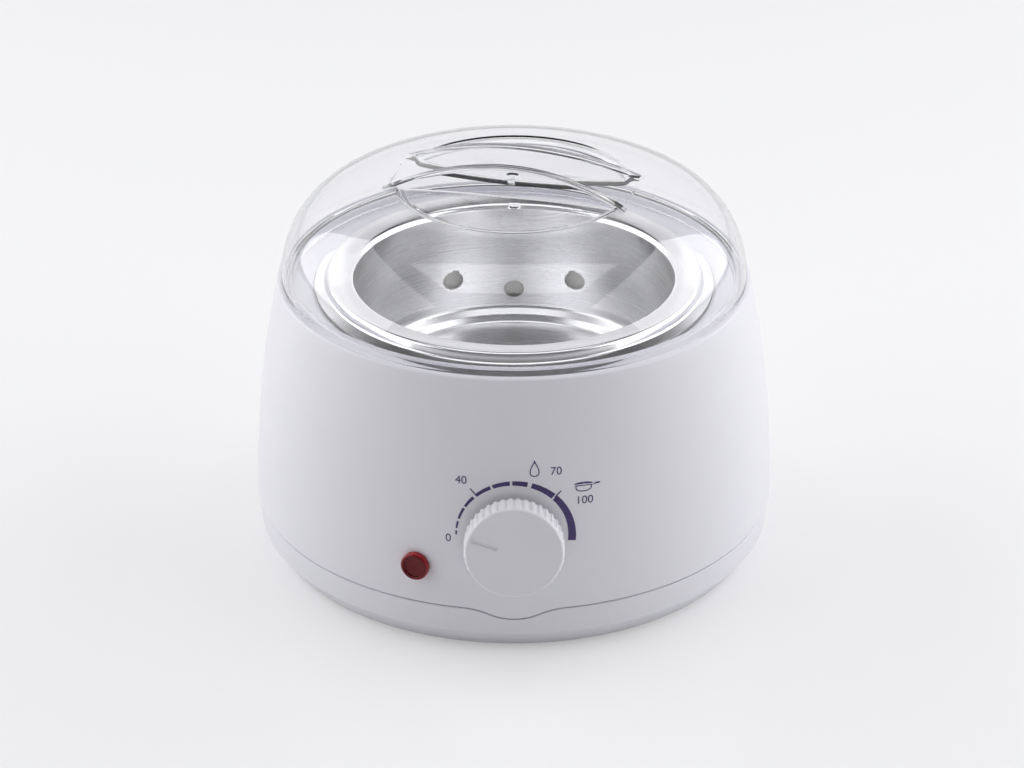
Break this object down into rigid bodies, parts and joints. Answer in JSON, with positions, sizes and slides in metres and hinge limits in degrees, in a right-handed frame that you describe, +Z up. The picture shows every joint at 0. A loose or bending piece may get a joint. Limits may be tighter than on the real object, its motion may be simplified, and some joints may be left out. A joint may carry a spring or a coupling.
{
  "type": "wax heater",
  "caption": "Round countertop wax heater with a spun metal well under a clear lift-off lid with a grip bar, a fluted temperature dial that turns and a red lamp on its front.",
  "frame": {"origin": "on the table plane under the body's centre line", "axes": "+Z up along the body's centre line, -Y towards the user, through the dial, and +X to the user's right"},
  "size_m": [0.1738, 0.1916, 0.1354],
  "materials": {
    "white_shell": "moulded gloss white",
    "knob_plastic": "satin white",
    "clear_lid": "clear moulded plastic",
    "red_lens": "dark red translucent lens",
    "spun_metal": "spun and polished",
    "cast_aluminium": "as cast",
    "sheet_steel": "zinc plated sheet",
    "sheath_steel": "heat-tinted tube",
    "fastener_steel": "zinc plated",
    "brass_fittings": "machined",
    "copper": "drawn tube",
    "phenolic": "moulded dark",
    "fibre": "pale glass fibre",
    "silicone": "moulded",
    "foot_rubber": "moulded",
    "fuse_sleeve": "woven sleeve",
    "bulb_glass": "clear glass",
    "resistor_body": "dipped",
    "gland_nylon": "moulded pale nylon",
    "wire_brown": "insulated wire",
    "wire_blue": "insulated wire",
    "wire_white": "insulated wire",
    "wire_grey": "insulated wire",
    "wire_green": "insulated wire"
  },
  "bodies": {
    "heater": {"upper_housing": "white_shell", "base_pan": "white_shell", "heating_well": "spun_metal", "rim_gasket": "silicone", "insulation_sleeve": "fibre", "heat_shield": "sheet_steel", "heater_disc": "cast_aluminium", "heating_ring": "sheath_steel", "clamp_bridge": "sheet_steel", "centre_stud": "fastener_steel", "stud_nuts": "fastener_steel", "spacer_tube": "fastener_steel", "support_bridge": "sheet_steel", "bridge_screws": "fastener_steel", "thermal_fuse": "fuse_sleeve", "sensor_bulb": "copper", "capillary_tube": "copper", "thermostat_body": "phenolic", "thermostat_bracket": "sheet_steel", "thermostat_nut": "brass_fittings", "thermostat_terminals": "brass_fittings", "bracket_screws": "fastener_steel", "lamp_lens": "red_lens", "neon_bulb": "bulb_glass", "lamp_clip": "fastener_steel", "lamp_resistor": "resistor_body", "terminal_block": "phenolic", "terminal_screws": "brass_fittings", "cord_gland": "gland_nylon", "gland_nut": "gland_nylon", "base_screws": "fastener_steel", "lead_live": "wire_brown", "lead_neutral": "wire_blue", "lead_heater": "wire_white", "lead_lamp": "wire_grey", "lead_earth": "wire_green", "foot_front": "foot_rubber", "foot_back": "foot_rubber", "foot_left": "foot_rubber", "foot_right": "foot_rubber"},
    "dial": {"dial_knob": "knob_plastic", "knob_clip": "fastener_steel", "thermostat_shaft": "brass_fittings"},
    "lid": {"lid": "clear_lid"}
  },
  "joints": [
    {"name": "dial_turn", "type": "hinge", "parent": "heater", "child": "dial", "pos_m": [0, -0.08574, 0.042], "axis": [0, 0.9981, -0.061], "range_deg": [0, 176]},
    {"name": "lid_lift", "type": "slide", "parent": "heater", "child": "lid", "axis": [0, 0, 1], "range_m": [0, 0.09]}
  ]
}
